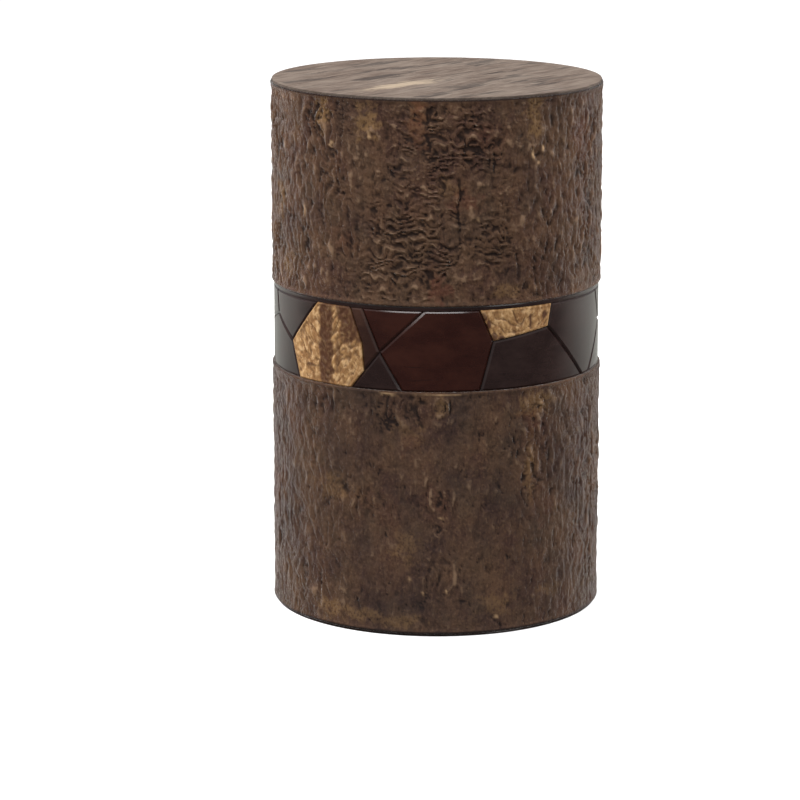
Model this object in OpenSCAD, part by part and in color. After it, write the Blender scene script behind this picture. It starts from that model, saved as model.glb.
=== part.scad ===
// Cherry-bark tea caddy: a wound-veneer tube cut into a body and a lid, an inner tube that
// stands out of the body as the lid's neck, a stepped inner lid with a turned knob, and a
// band of inlaid bark tiles round the top of the body.
// The origin is the middle of the resting face, +Z is up and the front faces -Y.

/* [Overall] */
// Diameter over the rough bark
outer_d = 75; // [70:1:90]
// Height with the lid on
total_h = 120; // [116:1:150]
// Height of the body up to its rim, which the lid rests on
body_h = 74.4; // [68:0.4:80]

/* [Bark and wood] */
// Thickness of the rough outer bark
bark_t = 1.2; // [0.8:0.1:1.6]
// Thickness of the shaved and polished bark inside
lining_t = 0.4; // [0.3:0.1:0.6]
// Thickness of the wound veneer core of the body and the lid
core_t = 1.8; // [1.4:0.1:2.4]
// Thickness of the wound veneer core of the inner tube
inner_core_t = 1.4; // [1.0:0.1:2.0]
// Width of the butt seam where a bark sheet meets itself
seam_w = 0.2; // [0.1:0.05:0.4]
// Bevel on the cut edges of the rough bark
bark_bevel = 0.4; // [0.2:0.1:0.6]

/* [Inlaid band] */
// Height of the band of tiles
band_h = 18; // [12:0.5:24]
// Height of the polished ring between the band and the body's rim
rim_h = 1; // [0.6:0.1:1.6]
// Thickness of a polished bark tile
tile_t = 0.6; // [0.4:0.1:0.7]
// How far a golden bark tile stands proud of the polished ones
gold_proud = 0.15; // [0.05:0.05:0.3]
// Gap between neighbouring tiles
tile_gap = 0.16; // [0.1:0.02:0.3]

/* [Lid and neck] */
// Height of the neck above the body's mouth
neck_h = 28; // [20:1:30]
// Radial play between the neck and the lid's lining
lid_play = 0.15; // [0.1:0.05:0.3]
// Thickness of the lid's wooden top board
top_board_t = 3.4; // [2.5:0.1:4]
// Thickness of the wooden base board
base_board_t = 4.5; // [3:0.5:6]
// Thickness of the bark sheets that cover the top and the base
facing_t = 0.6; // [0.4:0.1:0.8]

/* [Inner lid] */
// Depth of the plug that goes into the neck
plug_h = 5.8; // [4:0.2:9]
// Radial play between the plug and the neck's lining
plug_play = 0.2; // [0.15:0.05:0.4]
// Thickness of the inner lid's flange
flange_t = 2.4; // [2:0.1:3]
// Diameter of the knob
knob_d = 15; // [12:0.5:18]
// Height of the knob above the inner lid
knob_h = 5; // [4:0.5:6]

/* [Hidden] */
$fn = 96;
over = 1; // how far a cutter runs past what it cuts

// radii, from the outside inwards
bark_r = outer_d / 2;
core_r = bark_r - bark_t;
tile_r = core_r + tile_t;
lining_r = core_r - core_t; // the wound tube's own bark lining starts here
lid_bore_r = lining_r - lining_t;
neck_r = lid_bore_r - lid_play;
inner_core_r = neck_r - lining_t;
inner_lining_r = inner_core_r - inner_core_t;
tea_r = inner_lining_r - lining_t;

// heights, from the base upwards
floor_z = facing_t + base_board_t;
band_top = body_h - rim_h;
band_bottom = band_top - band_h;
neck_rim_z = body_h + neck_h;
board_top_z = total_h - facing_t;
board_z = board_top_z - top_board_t; // underside of the lid's top board
ceiling_z = board_z - lining_t;

// inner lid
plug_r = tea_r - plug_play;
flange_r = lid_bore_r - 2 * plug_play;
plug_z = neck_rim_z - plug_h;
inner_top_z = neck_rim_z + flange_t;
tenon_r = 2.5;

// colours
rough_brown = [0.3, 0.23, 0.19];
grey_brown = [0.45, 0.38, 0.33];
polished_red = [0.3, 0.13, 0.09];
polished_dark = [0.2, 0.1, 0.08];
dark_wood = [0.25, 0.1, 0.07];

// The band's corners, each as an angle from the front, positive towards +X, and a share of
// the band's height, so 1 is its top edge and 0 its bottom edge.
corners = [
    [-75, 1], [-45, 1], [-26.2, 1], [-3.9, 1], [15, 1], [43.4, 1], [75, 1],
    [104, 1], [126, 1], [150, 1], [180, 1], [-154, 1], [-122, 1], [-108, 1],
    [-55, 0], [-30.5, 0], [-11.6, 0], [15.2, 0], [62, 0], [67, 0], [92, 0],
    [124, 0], [152, 0], [178, 0], [-140, 0], [-114, 0], [-82, 0],
    [-60, 0.44], [-19.7, 0.47], [-25.5, 0.22], [19.9, 0.61], [41.7, 0.72], [81, 0.58], [97, 0.5],
    [133, 0.45], [165, 0.52], [-174, 0.55], [-148, 0.6], [-128, 0.5], [-88, 0.55], [-73, 0.7],
    [-31, 1], [-26.3, 0.55]
];

// Each tile is its name, whether it is golden, and its corners, clockwise from outside.
tiles = [
    ["tile_gold_front_left", true, [1, 41, 42, 29, 15, 14, 27]],
    ["tile_gold_front_right", true, [4, 5, 31, 30]],
    ["tile_gold_back_right", true, [7, 8, 34, 21, 20, 33]],
    ["tile_gold_back_left", true, [10, 11, 37, 36]],
    ["tile_front_sliver", false, [41, 2, 28, 29, 42]],
    ["tile_front_upper_wedge", false, [2, 3, 28]],
    ["tile_front_lower_wedge", false, [28, 16, 15]],
    ["tile_front_centre", false, [3, 4, 30, 17, 16, 28]],
    ["tile_front_lower_right", false, [30, 31, 18, 17]],
    ["tile_front_right", false, [5, 6, 32, 19, 18, 31]],
    ["tile_front_upper_left", false, [0, 1, 27, 40]],
    ["tile_front_lower_left", false, [40, 27, 14, 26, 39]],
    ["tile_right_upper", false, [6, 7, 33, 32]],
    ["tile_right_lower", false, [32, 33, 20, 19]],
    ["tile_back_right_wedge", false, [8, 9, 34]],
    ["tile_back_right", false, [34, 9, 35, 22, 21]],
    ["tile_back_upper", false, [9, 10, 36, 35]],
    ["tile_back_lower", false, [35, 36, 23, 22]],
    ["tile_back_left_lower", false, [36, 37, 24, 23]],
    ["tile_back_left_upper", false, [11, 12, 38, 37]],
    ["tile_left_lower", false, [37, 38, 25, 24]],
    ["tile_left", false, [12, 13, 39, 26, 25, 38]],
    ["tile_left_upper", false, [13, 0, 40, 39]]
];

// ---- shapes that repeat ----

module tube(r_out, r_in, z0, z1) {
    translate([0, 0, z0])
        difference() {
            cylinder(r = r_out, h = z1 - z0);
            translate([0, 0, -over]) cylinder(r = r_in, h = z1 - z0 + 2 * over);
        }
}

module disc(r, z0, z1, hole_r = 0) {
    if (hole_r > 0) tube(r, hole_r, z0, z1);
    else translate([0, 0, z0]) cylinder(r = r, h = z1 - z0);
}

// A disc with a bevel on one edge: the upper one, or the lower one if upper is false.
module bevelled_disc(r, z0, z1, bevel, upper = true) {
    b0 = upper ? 0 : bevel;
    b1 = upper ? bevel : 0;
    rotate_extrude()
        polygon([[0, z0], [r - b0, z0], [r, z0 + b0], [r, z1 - b1], [r - b1, z1], [0, z1]]);
}

// A sheet of rough bark rolled round the core, with bevelled cut edges and a butt seam behind.
module bark_wrap(z0, z1) {
    b = bark_bevel;
    difference() {
        rotate_extrude()
            polygon([
                [core_r, z0], [bark_r - b, z0], [bark_r, z0 + b],
                [bark_r, z1 - b], [bark_r - b, z1], [core_r, z1]
            ]);
        translate([-seam_w / 2, core_r - over, z0 - over])
            cube([seam_w, bark_t + 2 * over, z1 - z0 + 2 * over]);
    }
}

// ---- tile outlines, worked out flat and rolled onto the core ----

function unit(v) = v / norm(v);
function unwrapped(angle, near) = angle + 360 * round((near - angle) / 360);
function on_edge(p) = p[1] == 0 || p[1] == band_h;

// A tile's corners on the flat sheet, in mm along the band and up it.
function flat_outline(ids) = [
    for (i = ids)
        [unwrapped(corners[i][0], corners[ids[0]][0]) * PI / 180 * tile_r, corners[i][1] * band_h]
];

// A corner on the band's edge is carried past it along its tile's side, so that the cut runs out.
function carried(p, q) = p + (p - q) * (2 / abs(p[1] - q[1]));
function run_out(pts) = [
    for (i = [0:len(pts) - 1])
        let (p = pts[i], a = pts[(i + len(pts) - 1) % len(pts)], b = pts[(i + 1) % len(pts)])
        !on_edge(p) ? p : a[1] == p[1] ? carried(p, b) : b[1] == p[1] ? carried(p, a) : p
];

// A clockwise outline drawn in by g on every side.
function drawn_in(pts, g) = [
    for (i = [0:len(pts) - 1])
        let (
            p = pts[i],
            before = unit(p - pts[(i + len(pts) - 1) % len(pts)]),
            after = unit(pts[(i + 1) % len(pts)] - p),
            n1 = [before[1], -before[0]],
            n2 = [after[1], -after[0]]
        )
        p + g * (n1 + n2) / (1 + n1 * n2)
];

function rolled(p) =
    let (a = p[0] / tile_r * 180 / PI)
    [tile_r * sin(a), -tile_r * cos(a), band_bottom + p[1]];

function mean(pts, i = 0) = i == len(pts) ? [0, 0] : pts[i] / len(pts) + mean(pts, i + 1);

// A pyramid from the axis out through a tile's outline: its sides are the tile's cut edges.
module tile_cutter(ids) {
    flat = drawn_in(run_out(flat_outline(ids)), tile_gap / 2);
    apex = [0, 0, band_bottom + band_h / 2];
    n = len(flat);
    reach = 1.3;
    points = concat([apex], [for (p = concat(flat, [mean(flat)])) apex + reach * (rolled(p) - apex)]);
    polyhedron(
        points = points,
        faces = concat(
            [for (i = [0:n - 1]) [0, (i + 1) % n + 1, i + 1]],
            [for (i = [0:n - 1]) [i + 1, (i + 1) % n + 1, n + 1]]
        )
    );
}

module band_tile(t) {
    color(t[1] ? "tan" : polished_dark)
        intersection() {
            tube(tile_r + (t[1] ? gold_proud : 0), core_r, band_bottom, band_top);
            tile_cutter(t[2]);
        }
}

// ---- the body ----

module base_bark() { color(rough_brown) bevelled_disc(tile_r, 0, facing_t, facing_t / 2, upper = false); }
module base_board() { color("burlywood") disc(neck_r, facing_t, floor_z); }
module body_core() { color("burlywood") tube(core_r, lining_r, facing_t, band_top); }
module body_lining() { color(polished_red) tube(lining_r, neck_r, facing_t, band_top); }
module body_bark() { color(rough_brown) bark_wrap(facing_t, band_bottom); }
module body_rim_bark() { color(polished_red) tube(tile_r, neck_r, band_top, body_h); }

// ---- the inner tube ----

module floor_bark() { color(polished_red) disc(inner_lining_r, floor_z, floor_z + lining_t); }
module inner_tube_core() { color("burlywood") tube(inner_core_r, inner_lining_r, floor_z, neck_rim_z - lining_t); }
module inner_tube_bark() { color(polished_red) tube(neck_r, inner_core_r, floor_z, neck_rim_z - lining_t); }
module inner_tube_lining() {
    color(polished_red) tube(inner_lining_r, tea_r, floor_z + lining_t, neck_rim_z - lining_t);
}
module neck_rim_bark() { color(polished_red) tube(neck_r, tea_r, neck_rim_z - lining_t, neck_rim_z); }

// ---- the inner lid ----

module inner_lid_flange() {
    color("burlywood") disc(flange_r - lining_t, neck_rim_z, inner_top_z - lining_t, tenon_r);
}
module inner_lid_plug() { color("burlywood") disc(plug_r - lining_t, plug_z + lining_t, neck_rim_z, tenon_r); }
module inner_lid_plug_bark() { color(polished_red) tube(plug_r, plug_r - lining_t, plug_z, neck_rim_z); }
module inner_lid_edge_bark() { color(polished_red) tube(flange_r, flange_r - lining_t, neck_rim_z, inner_top_z); }
module inner_lid_top_bark() {
    color(polished_red) disc(flange_r - lining_t, inner_top_z - lining_t, inner_top_z, tenon_r);
}
module inner_lid_under_bark() { color(polished_red) disc(plug_r - lining_t, plug_z, plug_z + lining_t); }

// A turned button: a waisted stem under a domed head, on a tenon glued into the board.
module inner_lid_knob() {
    head_r = knob_d / 2;
    stem_r = head_r * 0.68;
    rim_z = inner_top_z + knob_h * 0.6; // the head's widest line
    dome_h = knob_h * 0.4;
    arc_steps = 10;
    waist = [
        for (i = [0:arc_steps])
            let (a = 90 * i / arc_steps)
            [stem_r + (head_r - stem_r) * (1 - cos(a)), inner_top_z + (rim_z - inner_top_z) * sin(a)]
    ];
    dome = [for (i = [1:arc_steps]) let (a = 90 * i / arc_steps) [head_r * cos(a), rim_z + dome_h * sin(a)]];
    tenon = [[0, plug_z + lining_t], [tenon_r, plug_z + lining_t], [tenon_r, inner_top_z]];
    color(dark_wood) rotate_extrude() polygon(concat(tenon, waist, dome));
}

// ---- the lid ----

module lid_rim_bark() { color(polished_red) tube(core_r, lid_bore_r, body_h, body_h + lining_t); }
module lid_core() { color("burlywood") tube(core_r, lining_r, body_h + lining_t, board_top_z); }
module lid_lining() { color(polished_red) tube(lining_r, lid_bore_r, body_h + lining_t, ceiling_z); }
module lid_bark() { color(rough_brown) bark_wrap(body_h, board_top_z); }
module lid_board() { color("burlywood") disc(lining_r, board_z, board_top_z); }
module lid_ceiling_bark() { color(polished_red) disc(lining_r, ceiling_z, board_z); }
module lid_top_bark() { color(grey_brown) bevelled_disc(bark_r - bark_bevel, board_top_z, total_h, facing_t / 2); }

base_bark();
base_board();
body_core();
body_lining();
body_bark();
body_rim_bark();
floor_bark();
inner_tube_core();
inner_tube_bark();
inner_tube_lining();
neck_rim_bark();
inner_lid_flange();
inner_lid_plug();
inner_lid_plug_bark();
inner_lid_edge_bark();
inner_lid_top_bark();
inner_lid_under_bark();
inner_lid_knob();
lid_core();
lid_lining();
lid_bark();
lid_rim_bark();
lid_board();
lid_ceiling_bark();
lid_top_bark();
for (t = tiles)
    band_tile(t);
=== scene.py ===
"""The looks of a cherry-bark tea caddy.

It has rough bark coats, an inlaid band of polished and golden bark, a scraped disc on its lid, and an
inner lid and a neck under it.

Lengths are in metres. The front faces -Y. A place on the caddy's side is given as an angle from the
front, in degrees and positive towards +X, and a height in millimetres.
"""

import math

import bmesh
import bpy
import numpy as np
from mathutils import Matrix, Vector


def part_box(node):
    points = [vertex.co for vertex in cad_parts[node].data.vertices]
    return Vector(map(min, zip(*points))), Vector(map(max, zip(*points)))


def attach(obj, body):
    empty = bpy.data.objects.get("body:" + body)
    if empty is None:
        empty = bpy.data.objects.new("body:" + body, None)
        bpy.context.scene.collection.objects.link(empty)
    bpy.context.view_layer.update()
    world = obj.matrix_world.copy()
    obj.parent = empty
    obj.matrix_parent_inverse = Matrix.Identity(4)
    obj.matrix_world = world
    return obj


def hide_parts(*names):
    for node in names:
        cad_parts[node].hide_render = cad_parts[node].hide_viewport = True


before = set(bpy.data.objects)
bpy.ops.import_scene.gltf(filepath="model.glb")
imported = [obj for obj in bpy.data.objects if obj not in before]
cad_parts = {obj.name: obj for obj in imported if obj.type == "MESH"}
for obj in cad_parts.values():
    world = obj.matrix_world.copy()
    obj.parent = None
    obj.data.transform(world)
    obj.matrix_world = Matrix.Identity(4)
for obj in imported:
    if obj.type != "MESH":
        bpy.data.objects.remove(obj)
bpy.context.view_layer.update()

MM = 0.001
UP = Vector((0, 0, 1))


# ---- sizes, read from the frame ----


def tube_size(node):
    """Inner radius, outer radius, lowest and highest point of a round CAD node."""
    low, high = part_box(node)
    reach = [math.hypot(v.co.x, v.co.y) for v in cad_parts[node].data.vertices]
    return min(reach), max(reach), low.z, high.z


CORE_R = tube_size("body_core")[1]
BARK_R = tube_size("lid_bark")[1]

# Millimetres along a sheet of bark for each radian it is rolled round the caddy
SHEET_R = BARK_R / MM

# How finely the pieces are cut
ROUND_STEPS = 360
KNOB_STEPS = 120
BARK_STEPS = 680
BARK_CELLS = {"lid_bark": 0.345 * MM, "body_bark": 0.415 * MM}
TOP_CELL = 0.42 * MM
GOLD_CELL = 0.28 * MM
POLISHED_STRIP = 0.8 * MM

# Roundings of the rough coats' and the lid top's edges, and the angles at which their points lie
COAT_EASE = 0.4 * MM
TOP_EASE = 0.3 * MM
CORNER = [math.radians(22.5 * step) for step in range(1, 5)]

# Widths of the tiles' chamfers, and their depth for their width
POLISHED_CHAMFER = 0.46 * MM
GOLD_CHAMFER = 0.34 * MM
CHAMFER_SLOPE = 0.7

# Relief of the bark, as depths below its highest ridges
COAT_RELIEF = 0.8 * MM
TOP_RELIEF = 0.16 * MM
GOLD_RELIEF = 0.3 * MM


# ---- camera, floor and light ----

CADDY_MIDDLE = Vector((0, 0, 0.06))
FLOOR_HALF = 6


def aim_camera():
    """A long lens in front of the caddy, looking slightly down, with the caddy right of the middle."""
    down, left = math.radians(12.5), math.radians(0.62)
    camera = bpy.data.cameras.new("camera")
    camera.sensor_width = 36
    camera.lens = 153.4
    camera.clip_end = 20
    eye = bpy.data.objects.new("camera", camera)
    eye.location = (0, -0.763, 0.2147)
    eye.rotation_euler = (math.pi / 2 - down, 0, left)
    bpy.context.scene.collection.objects.link(eye)
    bpy.context.scene.camera = eye


def softbox(name, place, width, height, power, in_gloss=True):
    """A soft light aimed at the caddy's middle. Out of the gloss, it lights the caddy but isn't mirrored."""
    light = bpy.data.lights.new(name, "AREA")
    light.shape = "RECTANGLE"
    light.size, light.size_y = width, height
    light.energy = power
    box = bpy.data.objects.new(name, light)
    box.location = place
    box.rotation_euler = (CADDY_MIDDLE - Vector(place)).to_track_quat("-Z", "Y").to_euler()
    box.visible_glossy = in_gloss
    bpy.context.scene.collection.objects.link(box)


def light_the_set():
    softbox("window_left", (-0.65, -0.47, 0.52), 0.35, 0.35, 2.4)
    softbox("front_high", (-0.1, -0.52, 0.87), 0.7, 0.3, 5.1)
    softbox("fill_right", (0.7, -0.6, 0.3), 0.4, 0.4, 1.25)
    softbox("back_left", (-0.75, 0.42, 0.25), 0.5, 0.6, 11.0, in_gloss=False)
    softbox("back_right", (0.75, 0.42, 0.25), 0.5, 0.6, 10.8, in_gloss=False)
    world = bpy.data.worlds.new("pale_room")
    world.use_nodes = True
    background = world.node_tree.nodes["Background"].inputs
    background["Color"].default_value = (1, 1, 1, 1)
    background["Strength"].default_value = 0.42
    bpy.context.scene.world = world
    bpy.context.scene.view_settings.view_transform = "Standard"


def lay_floor():
    """A floor that looks white, yet lights the caddy and shows in its gloss as paler behind than in front."""
    bm = bmesh.new()
    bmesh.ops.create_grid(bm, x_segments=1, y_segments=1, size=FLOOR_HALF)
    mesh = bpy.data.meshes.new("floor")
    bm.to_mesh(mesh)
    bm.free()
    floor = bpy.data.objects.new("floor", mesh)
    bpy.context.scene.collection.objects.link(floor)
    paint = Paint("floor_paint")
    rays = paint.node("ShaderNodeLightPath").outputs
    seen = rays["Is Camera Ray"]
    at = paint.node("ShaderNodeSeparateXYZ")
    paint.feed(at.inputs[0], paint.node("ShaderNodeTexCoord").outputs["Object"])
    depth = at.outputs["Y"]
    lighting = paint.mix(paint.ramp(depth, -0.15, -0.04), tint(92, 89, 86), tint(184, 184, 178))
    mirrored = paint.mix(paint.ramp(depth, -0.06, 0.2), tint(58, 56, 54), tint(162, 164, 158))
    unseen = paint.mix(rays["Is Glossy Ray"], lighting, mirrored)
    paint.colour(paint.mix(seen, unseen, tint(235, 235, 235)))
    paint.set("Emission Color", tint(255, 255, 255))
    paint.set("Emission Strength", paint.maths("MULTIPLY", seen, 0.62))
    paint.set("Roughness", 0.9)
    mesh.materials.append(paint.material)


# ---- writing materials ----


def tint(red, green, blue):
    """A colour from 0 to 255 a channel, as a paint chart gives it, in the shader's linear values."""
    return tuple(((c / 255 + 0.055) / 1.055) ** 2.4 for c in (red, green, blue)) + (1.0,)


class Recipe:
    """Adds nodes to a node tree and joins them."""

    def __init__(self, tree):
        self.tree = tree

    def node(self, kind, **settings):
        made = self.tree.nodes.new(kind)
        for name, value in settings.items():
            setattr(made, name, value)
        return made

    def feed(self, socket, value):
        if isinstance(value, bpy.types.NodeSocket):
            self.tree.links.new(value, socket)
        else:
            socket.default_value = value

    def maths(self, operation, a, b=0.0):
        made = self.node("ShaderNodeMath", operation=operation)
        self.feed(made.inputs[0], a)
        self.feed(made.inputs[1], b)
        return made.outputs[0]

    def ramp(self, value, low, high, to_low=0.0, to_high=1.0):
        """Value carried smoothly from low..high to to_low..to_high."""
        made = self.node("ShaderNodeMapRange", interpolation_type="SMOOTHSTEP")
        for socket, number in zip(made.inputs, (value, low, high, to_low, to_high)):
            self.feed(socket, number)
        return made.outputs["Result"]

    def mix(self, share, a, b):
        """Colour a, with a share of colour b over it."""
        made = self.node("ShaderNodeMix", data_type="RGBA")
        self.feed(made.inputs["Factor"], share)
        self.feed(made.inputs["A"], a)
        self.feed(made.inputs["B"], b)
        return made.outputs["Result"]

    def scaled(self, vector, x, y, z):
        made = self.node("ShaderNodeMapping")
        self.feed(made.inputs["Vector"], vector)
        made.inputs["Scale"].default_value = (x, y, z)
        return made.outputs["Vector"]

    def clouds(self, vector, detail, roughness=0.55, distortion=0.0):
        """Noise with patches about one unit of the vector across."""
        made = self.node("ShaderNodeTexNoise")
        self.feed(made.inputs["Vector"], vector)
        made.inputs["Scale"].default_value = 1.0
        made.inputs["Detail"].default_value = detail
        made.inputs["Roughness"].default_value = roughness
        made.inputs["Distortion"].default_value = distortion
        return made.outputs["Fac"]

    def effect(self, group, **inputs):
        made = self.node("ShaderNodeGroup", node_tree=group)
        for name, value in inputs.items():
            self.feed(made.inputs[name], value)
        return made.outputs


class Paint(Recipe):
    """A material with one Principled BSDF."""

    def __init__(self, name):
        self.material = bpy.data.materials.new(name)
        self.material.use_nodes = True
        super().__init__(self.material.node_tree)
        self.shader = self.tree.nodes["Principled BSDF"]

    def set(self, socket, value):
        self.feed(self.shader.inputs[socket], value)

    def colour(self, value):
        self.set("Base Color", value)

    def bump(self, height, depth, strength=1.0):
        """Fine relief: height from 0 to 1 stands for depth in metres."""
        made = self.node("ShaderNodeBump")
        made.inputs["Strength"].default_value = strength
        made.inputs["Distance"].default_value = depth
        self.feed(made.inputs["Height"], height)
        self.set("Normal", made.outputs["Normal"])

    def read(self, name):
        return self.node("ShaderNodeAttribute", attribute_name=name).outputs["Fac"]


def new_effect(name, gives, kind, takes_place=False, **numbers):
    """A shader node group with one output, its recipe, what it is given and what it puts out."""
    group = bpy.data.node_groups.new(name, "ShaderNodeTree")
    if takes_place:
        group.interface.new_socket("Place", in_out="INPUT", socket_type="NodeSocketVector")
    for label, default in numbers.items():
        socket = group.interface.new_socket(label, in_out="INPUT", socket_type="NodeSocketFloat")
        socket.default_value = default
    group.interface.new_socket(gives, in_out="OUTPUT", socket_type=kind)
    recipe = Recipe(group)
    return group, recipe, recipe.node("NodeGroupInput").outputs, recipe.node("NodeGroupOutput").inputs


def make_sheet_place():
    """Where a point lies on a sheet rolled round the caddy: millimetres along it, up it and out of it."""
    group, r, _, out = new_effect("sheet_place", "Place", "NodeSocketVector")
    at = r.node("ShaderNodeSeparateXYZ")
    r.feed(at.inputs[0], r.node("ShaderNodeTexCoord").outputs["Object"])
    forward = r.maths("MULTIPLY", at.outputs["Y"], -1.0)
    angle = r.maths("ARCTAN2", at.outputs["X"], forward)
    squares = r.maths("ADD", r.maths("POWER", at.outputs["X"], 2.0), r.maths("POWER", at.outputs["Y"], 2.0))
    place = r.node("ShaderNodeCombineXYZ")
    r.feed(place.inputs[0], r.maths("MULTIPLY", angle, SHEET_R))
    r.feed(place.inputs[1], r.maths("MULTIPLY", at.outputs["Z"], 1 / MM))
    r.feed(place.inputs[2], r.maths("MULTIPLY", r.maths("SQRT", squares), 1 / MM))
    r.feed(out["Place"], place.outputs[0])
    return group


def make_flat_place():
    """Where a point lies on a flat sheet across the caddy, in millimetres."""
    group, r, _, out = new_effect("flat_place", "Place", "NodeSocketVector")
    coords = r.node("ShaderNodeTexCoord").outputs["Object"]
    r.feed(out["Place"], r.scaled(coords, 1 / MM, 1 / MM, 1 / MM))
    return group


def make_lenticels():
    """The fine lines that run along a sheet of cherry bark, as a mask."""
    group, r, given, out = new_effect(
        "lenticels", "Lines", "NodeSocketFloat", takes_place=True, Along=0.09, Across=1.3, Rarity=0.6
    )
    stretch = r.node("ShaderNodeCombineXYZ")
    r.feed(stretch.inputs[0], given["Along"])
    r.feed(stretch.inputs[1], given["Across"])
    drawn = r.node("ShaderNodeVectorMath", operation="MULTIPLY")
    r.feed(drawn.inputs[0], given["Place"])
    r.feed(drawn.inputs[1], stretch.outputs[0])
    field = r.clouds(drawn.outputs[0], detail=3.0, roughness=0.6, distortion=0.2)
    top = r.maths("ADD", given["Rarity"], 0.12)
    r.feed(out["Lines"], r.ramp(field, given["Rarity"], top))
    return group


EFFECTS = {}


def make_effects():
    EFFECTS["sheet_place"] = make_sheet_place()
    EFFECTS["flat_place"] = make_flat_place()
    EFFECTS["lenticels"] = make_lenticels()


# ---- materials ----


def rough_bark():
    """Frosted bark: painted shade in its creases, a painted grey-brown highlight on its crests, ochre and red
    patches, grey shade, pale specks, and a pale line along an edge that is partly painted highlight.
    """
    paint = Paint("rough_bark")
    place = paint.effect(EFFECTS["sheet_place"])["Place"]
    relief, ochre, red = paint.read("relief"), paint.read("ochre"), paint.read("red")
    mottle = paint.clouds(paint.scaled(place, 0.13, 0.09, 0.2), detail=6.0, roughness=0.6)
    tone = paint.clouds(paint.scaled(place, 0.3, 0.2, 0.2), detail=5.0, roughness=0.6)
    grain = paint.clouds(paint.scaled(place, 1.9, 1.3, 1.0), detail=5.0, roughness=0.7)
    streak = paint.clouds(paint.scaled(place, 0.9, 0.22, 1.0), detail=5.0, distortion=0.6)
    base = paint.mix(paint.ramp(mottle, 0.38, 0.62), tint(70, 46, 37), tint(79, 58, 43))
    base = paint.mix(paint.ramp(tone, 0.38, 0.64, 0.0, 0.6), base, tint(98, 70, 51))
    base = paint.mix(paint.ramp(streak, 0.45, 0.68, 0.0, 0.35), base, tint(100, 76, 58))
    base = paint.mix(paint.ramp(streak, 0.3, 0.45, 0.4, 0.0), base, tint(42, 26, 21))
    warm = paint.maths("MULTIPLY", ochre, paint.ramp(grain, 0.32, 0.58, 0.1, 0.95))
    base = paint.mix(warm, base, tint(134, 102, 66))
    base = paint.mix(paint.maths("MULTIPLY", red, 0.6), base, tint(94, 52, 38))
    base = paint.mix(paint.ramp(grain, 0.5, 0.7, 0.0, 0.5), base, tint(124, 94, 70))
    base = paint.mix(paint.ramp(grain, 0.3, 0.46, 0.6, 0.0), base, tint(33, 19, 15))
    # Painted shade: the low places of the relief, its creases, cracks and shaded edge, darkened.
    base = paint.mix(paint.ramp(relief, 0.08, 0.5, 0.9, 0.0), base, tint(26, 14, 11))
    # Painted highlight: the highest crests lightened grey-brown.
    base = paint.mix(paint.ramp(relief, 0.7, 0.98, 0.0, 0.8), base, tint(140, 112, 88))
    base = paint.mix(paint.read("shade"), base, tint(34, 31, 34))
    # Pale specks, and along the body coat's top edge a pale line, partly torn bark and partly painted
    # highlight.
    base = paint.mix(paint.read("fleck"), base, tint(186, 152, 114))
    paint.colour(base)
    paint.set("Roughness", paint.ramp(relief, 0.2, 1.0, 0.8, 0.5))
    paint.set("Specular IOR Level", 0.22)
    paint.set("Sheen Weight", 0.9)
    paint.set("Sheen Roughness", 0.15)
    paint.bump(paint.maths("ADD", grain, paint.maths("MULTIPLY", streak, 0.4)), 0.34 * MM, 0.9)
    return paint.material


def scraped_bark():
    """The lid's top: bark scraped nearly flat, grey-brown with furrows that run one way and a pale streak."""
    paint = Paint("scraped_bark")
    place = paint.effect(EFFECTS["flat_place"])["Place"]
    turned_place = paint.node("ShaderNodeMapping")
    paint.feed(turned_place.inputs["Vector"], place)
    turned_place.inputs["Rotation"].default_value = (0, 0, -math.radians(TOP_GRAIN_ANGLE))
    along = turned_place.outputs["Vector"]
    relief, pale = paint.read("relief"), paint.read("pale")
    fine = paint.clouds(paint.scaled(along, 0.12, 1.5, 1.0), detail=6.0, roughness=0.65, distortion=0.3)
    cloud = paint.clouds(paint.scaled(along, 0.05, 0.14, 1.0), detail=3.0)
    base = paint.mix(paint.ramp(cloud, 0.35, 0.65), tint(102, 84, 72), tint(124, 108, 96))
    base = paint.mix(paint.ramp(fine, 0.44, 0.68, 0.0, 0.7), base, tint(154, 137, 122))
    base = paint.mix(paint.ramp(fine, 0.3, 0.46, 0.62, 0.0), base, tint(66, 47, 38))
    # Painted shade: the furrows and the rounded rim, where the relief is low, darkened.
    base = paint.mix(paint.ramp(relief, 0.02, 0.55, 0.92, 0.0), base, tint(32, 20, 16))
    base = paint.mix(paint.maths("MULTIPLY", pale, 0.85), base, tint(188, 167, 142))
    paint.colour(base)
    paint.set("Roughness", paint.ramp(fine, 0.3, 0.7, 0.62, 0.48))
    paint.bump(fine, 0.06 * MM, 0.7)
    return paint.material


def polished_bark(name, dark, light, gloss=0.45, marks=0.4, flat=False):
    """Shaved and polished bark: a deep colour, faint lines along the sheet and a slightly wavy gloss."""
    paint = Paint(name)
    place = paint.effect(EFFECTS["flat_place" if flat else "sheet_place"])["Place"]
    cloud = paint.clouds(paint.scaled(place, 0.12, 0.2, 0.1), detail=5.0, roughness=0.6)
    lines = paint.effect(EFFECTS["lenticels"], Place=place)["Lines"]
    threads = paint.clouds(paint.scaled(place, 0.16, 2.2, 0.1), detail=4.0, roughness=0.6)
    base = paint.mix(paint.ramp(cloud, 0.35, 0.68), dark, light)
    base = paint.mix(paint.ramp(threads, 0.5, 0.75, 0.0, 0.25), base, light)
    mark_colour = tuple(c * 0.45 for c in dark[:3]) + (1.0,)
    base = paint.mix(paint.maths("MULTIPLY", lines, marks), base, mark_colour)
    paint.colour(base)
    paint.set("Roughness", paint.ramp(cloud, 0.3, 0.7, 0.15, 0.22))
    paint.set("Specular IOR Level", gloss)
    paint.bump(cloud, 0.06 * MM, 0.4)
    return paint.material


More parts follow.
